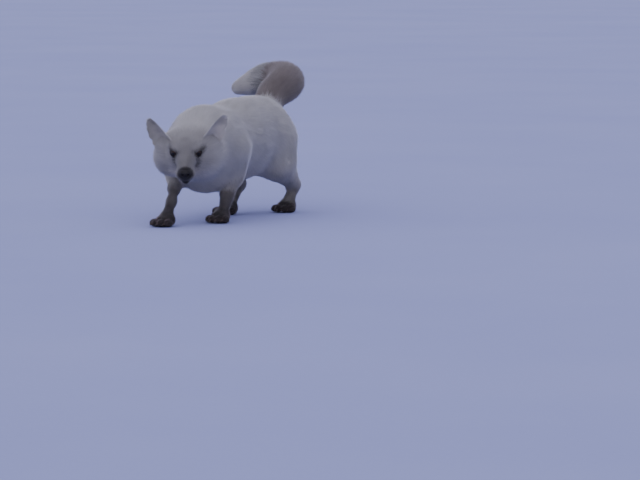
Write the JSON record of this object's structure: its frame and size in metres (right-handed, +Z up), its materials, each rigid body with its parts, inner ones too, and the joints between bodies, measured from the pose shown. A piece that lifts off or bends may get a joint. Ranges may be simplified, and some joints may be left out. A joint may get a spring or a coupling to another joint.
{
  "type": "arctic fox",
  "caption": "Life-size still model of an arctic fox in a pale winter coat with dark legs and muzzle, creeping forward with its head low and its bushy tail raised.",
  "frame": {"origin": "On the floor, under the middle of the outline's box.", "axes": "X to the fox's left, Y to its rear so that it faces -Y, Z up."},
  "size_m": [0.2252, 0.6058, 0.3165],
  "materials": {
    "body_fur": "long soft matt fur",
    "leg_fur": "short dense matt fur",
    "paw_fur": "short dense matt fur",
    "tail_fur": "long bushy matt fur",
    "ear_fur": "short dense matt fur",
    "nose_leather": "moist pebbled leather",
    "eye": "wet gloss",
    "claw": "worn horn, satin"
  },
  "bodies": {
    "root": {"claw_fore_left_1": "claw", "claw_fore_left_2": "claw", "claw_fore_left_3": "claw", "claw_fore_left_4": "claw", "claw_fore_right_1": "claw", "claw_fore_right_2": "claw", "claw_fore_right_3": "claw", "claw_fore_right_4": "claw", "claw_hind_left_1": "claw", "claw_hind_left_2": "claw", "claw_hind_left_3": "claw", "claw_hind_left_4": "claw", "claw_hind_right_1": "claw", "claw_hind_right_2": "claw", "claw_hind_right_3": "claw", "claw_hind_right_4": "claw", "ear_left": "ear_fur", "ear_right": "ear_fur", "eye_left": "eye", "eye_right": "eye", "foreleg_left": "leg_fur", "foreleg_right": "leg_fur", "forepaw_left": "paw_fur", "forepaw_right": "paw_fur", "head": "body_fur", "hindleg_left": "leg_fur", "hindleg_right": "leg_fur", "hindpaw_left": "paw_fur", "hindpaw_right": "paw_fur", "neck": "body_fur", "nose": "nose_leather", "tail_base": "tail_fur", "tail_middle": "tail_fur", "tail_tip": "tail_fur", "thigh_left": "body_fur", "thigh_right": "body_fur", "trunk": "body_fur"}
  },
  "joints": []
}
